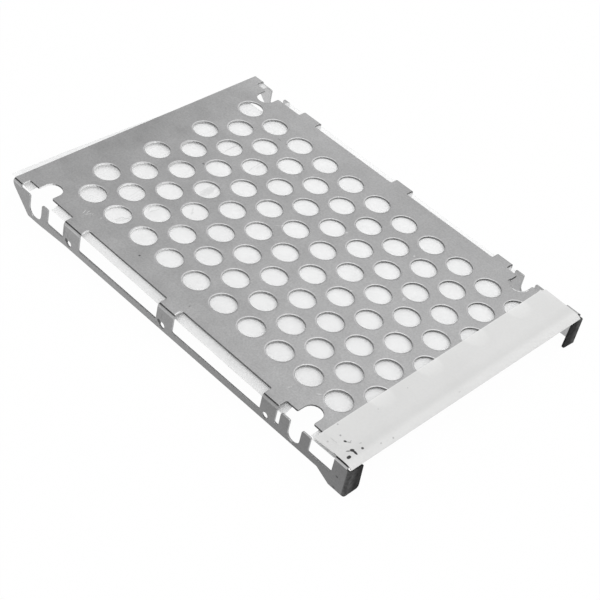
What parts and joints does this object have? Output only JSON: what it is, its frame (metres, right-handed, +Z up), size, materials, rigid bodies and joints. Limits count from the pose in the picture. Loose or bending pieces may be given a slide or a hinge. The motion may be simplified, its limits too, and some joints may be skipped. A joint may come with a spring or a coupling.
{
  "type": "laptop hard drive caddy",
  "caption": "Pierced sheet-steel caddy for a small laptop hard drive, folded from one sheet, with an insulating film under its plate and a strip across its front end.",
  "frame": {"origin": "middle of the caddy's bounding box, on the plane that its feet stand on", "axes": "+Z up, from the feet to the pierced plate; +Y from the front end with the strip to the back end; +X to the right as seen from the front"},
  "size_m": [0.0714, 0.1007, 0.0081],
  "materials": {
    "steel": "dull zinc-plated sheet, lightly scuffed",
    "film": "milky translucent film",
    "strip": "white plastic strip with a few dark specks"
  },
  "bodies": {
    "root": {"steel_tray": "steel", "insulating_film": "film", "front_strip": "strip"}
  },
  "joints": []
}
